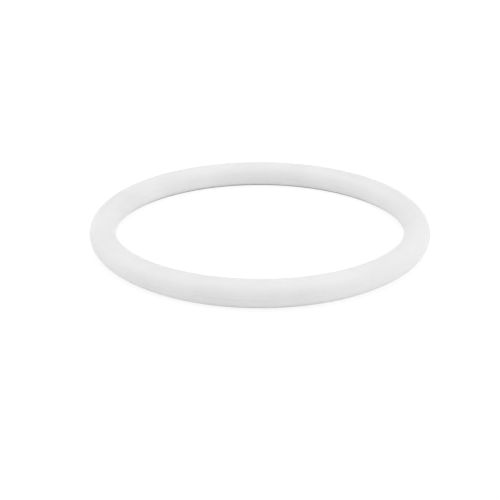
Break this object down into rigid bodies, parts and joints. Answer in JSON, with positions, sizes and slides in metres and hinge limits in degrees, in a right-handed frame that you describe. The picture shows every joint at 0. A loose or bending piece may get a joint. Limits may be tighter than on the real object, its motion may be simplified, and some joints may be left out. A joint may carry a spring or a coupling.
{
  "type": "round-section ring gasket",
  "caption": "White silicone rubber ring gasket of round section (an O-ring), moulded in one piece, for sealing a joint between two faces, around a spigot or inside a bore.",
  "frame": {"origin": "the ring's centre, on its axis, halfway through its thickness", "axes": "+Z along the ring's axis, up as it lies on a table; the ring looks the same along X and along Y"},
  "size_m": [0.067, 0.067, 0.005],
  "materials": {
    "silicone": "satin"
  },
  "bodies": {
    "root": {"gasket_ring": "silicone"}
  },
  "joints": []
}
